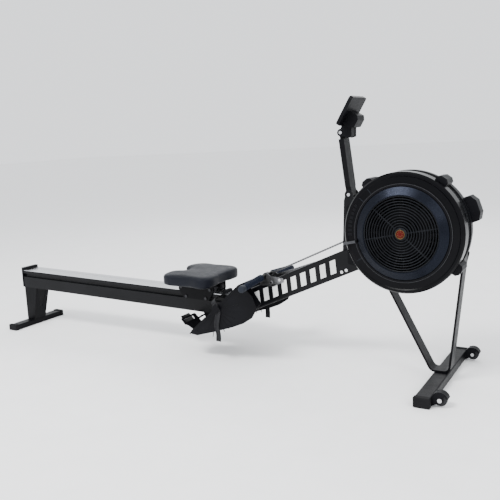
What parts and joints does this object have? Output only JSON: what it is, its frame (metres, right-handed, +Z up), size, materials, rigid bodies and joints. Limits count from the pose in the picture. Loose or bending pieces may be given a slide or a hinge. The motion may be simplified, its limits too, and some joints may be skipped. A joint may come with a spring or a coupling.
{
  "type": "rowing machine",
  "caption": "Air-resistance rowing machine: sliding seat on a rail, fan drum on a bent-strap front leg, chain-pulled handle, footrests and a monitor on a folding arm.",
  "frame": {"origin": "on the floor at the centre of the object's bounding box", "axes": "+X forward from the rail to the fan, +Y to the rower's left, +Z up"},
  "size_m": [2.4892, 0.61, 1.1188],
  "materials": {
    "black_paint": "satin",
    "black_extrusion": "satin",
    "stainless": "brushed",
    "bare_steel": "polished",
    "gloss_plastic": "gloss",
    "matte_plastic": "matte",
    "rubber": "matte",
    "seat_foam": "satin",
    "webbing": "woven",
    "elastic": "braided",
    "screen": "gloss",
    "red_plastic": "gloss",
    "roller_plastic": "smooth",
    "fan_steel": "satin"
  },
  "bodies": {
    "frame": {"axle_bearings": "bare_steel", "caster_brackets": "matte_plastic", "chain_drive": "bare_steel", "cover_lugs": "matte_plastic", "fan_cover_far": "gloss_plastic", "fan_cover_near": "gloss_plastic", "fan_grille": "gloss_plastic", "fan_plates": "black_paint", "foot_caps": "rubber", "foot_rest_far": "matte_plastic", "foot_rest_near": "matte_plastic", "foot_strap_far": "webbing", "foot_strap_near": "webbing", "frame_bolts": "bare_steel", "front_foot_tube": "black_paint", "front_leg_strap": "black_paint", "handle_rest": "stainless", "hub_medallion": "red_plastic", "main_beam": "black_extrusion", "perforated_band": "black_paint", "rail_beam": "black_extrusion", "rail_brackets": "black_paint", "rail_end_stops": "matte_plastic", "rail_track": "stainless", "rear_foot_bar": "black_paint", "rear_leg": "black_paint", "sensor_box": "matte_plastic", "shock_cord": "elastic", "strap_buckles": "matte_plastic", "upright_casing": "black_extrusion"},
    "seat": {"seat_pad": "seat_foam", "seat_carriage": "black_paint", "seat_axles": "bare_steel"},
    "roller_upper_front": {"upper_rollers_front": "roller_plastic"},
    "roller_upper_rear": {"upper_rollers_rear": "roller_plastic"},
    "roller_lower_front": {"lower_rollers_front": "roller_plastic"},
    "roller_lower_rear": {"lower_rollers_rear": "roller_plastic"},
    "fan": {"fan_wheel": "fan_steel", "fan_axle": "bare_steel"},
    "sprocket": {"chain_sprocket": "bare_steel"},
    "exit_guide": {"exit_roller": "roller_plastic"},
    "return_upper": {"upper_pulley": "roller_plastic"},
    "return_lower": {"lower_pulley": "roller_plastic"},
    "handle": {"handle_bar": "black_paint", "handle_grips": "rubber", "handle_yoke": "bare_steel", "chain_run": "bare_steel"},
    "damper": {"damper_lever": "gloss_plastic"},
    "heel_near": {"heel_cup_near": "matte_plastic"},
    "heel_far": {"heel_cup_far": "matte_plastic"},
    "lock": {"frame_lock_loop": "black_paint"},
    "arm": {"monitor_arm": "black_paint"},
    "head": {"monitor_body": "matte_plastic", "monitor_screen": "screen", "tilt_bolt": "bare_steel"},
    "key_left": {"monitor_key_left": "rubber"},
    "key_middle": {"monitor_key_middle": "rubber"},
    "key_right": {"monitor_key_right": "rubber"},
    "caster_near": {"caster_wheel_near": "roller_plastic"},
    "caster_far": {"caster_wheel_far": "roller_plastic"}
  },
  "joints": [
    {"name": "seat_slide", "type": "slide", "parent": "frame", "child": "seat", "axis": [0.9996, 0, -0.0279], "range_m": [-1.08, 0.03]},
    {"name": "roller_upper_front_spin", "type": "hinge", "parent": "seat", "child": "roller_upper_front", "pos_m": [0.05036, 0, 0.29708], "axis": [0, 1, 0], "continuous": true},
    {"name": "roller_lower_front_spin", "type": "hinge", "parent": "seat", "child": "roller_lower_front", "pos_m": [0.02316, 0, 0.25472], "axis": [0, 1, 0], "continuous": true},
    {"name": "roller_upper_rear_spin", "type": "hinge", "parent": "seat", "child": "roller_upper_rear", "pos_m": [-0.11358, 0, 0.30166], "axis": [0, 1, 0], "continuous": true},
    {"name": "roller_lower_rear_spin", "type": "hinge", "parent": "seat", "child": "roller_lower_rear", "pos_m": [-0.08879, 0, 0.25785], "axis": [0, 1, 0], "continuous": true},
    {"name": "fan_spin", "type": "hinge", "parent": "frame", "child": "fan", "pos_m": [0.9904, 0, 0.602], "axis": [0, 1, 0], "continuous": true},
    {"name": "handle_pull", "type": "slide", "parent": "frame", "child": "handle", "axis": [-0.9563, 0, 0.2924], "range_m": [0, 0.9], "deforming": ["chain_run"]},
    {"name": "sprocket_spin", "type": "hinge", "parent": "frame", "child": "sprocket", "pos_m": [0.9904, 0, 0.602], "axis": [0, 1, 0], "continuous": true},
    {"name": "exit_roller_spin", "type": "hinge", "parent": "frame", "child": "exit_guide", "pos_m": [0.73104, 0, 0.53546], "axis": [0, 1, 0], "continuous": true},
    {"name": "upper_pulley_spin", "type": "hinge", "parent": "frame", "child": "return_upper", "pos_m": [0.75672, 0, 0.4879], "axis": [0, 1, 0], "continuous": true},
    {"name": "lower_pulley_spin", "type": "hinge", "parent": "frame", "child": "return_lower", "pos_m": [0.2455, 0, 0.25661], "axis": [0, 1, 0], "continuous": true},
    {"name": "damper_turn", "type": "hinge", "parent": "frame", "child": "damper", "pos_m": [0.9904, 0, 0.602], "axis": [0, 1, 0], "range_deg": [-15, 20]},
    {"name": "heel_near_slide", "type": "slide", "parent": "frame", "child": "heel_near", "axis": [0.749, 0, 0.6626], "range_m": [0, 0.06]},
    {"name": "heel_far_slide", "type": "slide", "parent": "frame", "child": "heel_far", "axis": [0.749, 0, 0.6626], "range_m": [0, 0.06]},
    {"name": "frame_lock_pull", "type": "hinge", "parent": "frame", "child": "lock", "pos_m": [0.0114, 0, 0.17], "axis": [0, -1, 0], "range_deg": [0, 30], "stiffness_Nm_per_rad": 1.5, "springref_deg": -17.19},
    {"name": "arm_pivot", "type": "hinge", "parent": "frame", "child": "arm", "pos_m": [0.7384, 0, 0.735], "axis": [0, 1, 0], "range_deg": [-15, 20]},
    {"name": "head_tilt", "type": "hinge", "parent": "arm", "child": "head", "pos_m": [0.7094, 0, 0.981], "axis": [0, 1, 0], "range_deg": [-25, 12]},
    {"name": "caster_near_spin", "type": "hinge", "parent": "frame", "child": "caster_near", "pos_m": [1.1604, -0.262, 0.03], "axis": [0, 1, 0], "continuous": true},
    {"name": "caster_far_spin", "type": "hinge", "parent": "frame", "child": "caster_far", "pos_m": [1.1604, 0.262, 0.03], "axis": [0, 1, 0], "continuous": true},
    {"name": "key_left_press", "type": "slide", "parent": "head", "child": "key_left", "axis": [0.8572, 0, -0.515], "range_m": [0, 0.0015], "stiffness_N_per_m": 300, "springref_m": -0.001},
    {"name": "key_middle_press", "type": "slide", "parent": "head", "child": "key_middle", "axis": [0.8572, 0, -0.515], "range_m": [0, 0.0015], "stiffness_N_per_m": 300, "springref_m": -0.001},
    {"name": "key_right_press", "type": "slide", "parent": "head", "child": "key_right", "axis": [0.8572, 0, -0.515], "range_m": [0, 0.0015], "stiffness_N_per_m": 300, "springref_m": -0.001}
  ],
  "couplings": [
    {"joint": "roller_upper_front_spin", "follows": "seat_slide", "rad_per_m": 62.5},
    {"joint": "roller_upper_rear_spin", "follows": "seat_slide", "rad_per_m": 62.5},
    {"joint": "roller_lower_front_spin", "follows": "seat_slide", "rad_per_m": -117.65},
    {"joint": "roller_lower_rear_spin", "follows": "seat_slide", "rad_per_m": -117.65},
    {"joint": "sprocket_spin", "follows": "handle_pull", "rad_per_m": -16.72},
    {"joint": "exit_roller_spin", "follows": "handle_pull", "rad_per_m": -95.24},
    {"joint": "upper_pulley_spin", "follows": "handle_pull", "rad_per_m": 34.72},
    {"joint": "lower_pulley_spin", "follows": "handle_pull", "rad_per_m": 12.5}
  ]
}
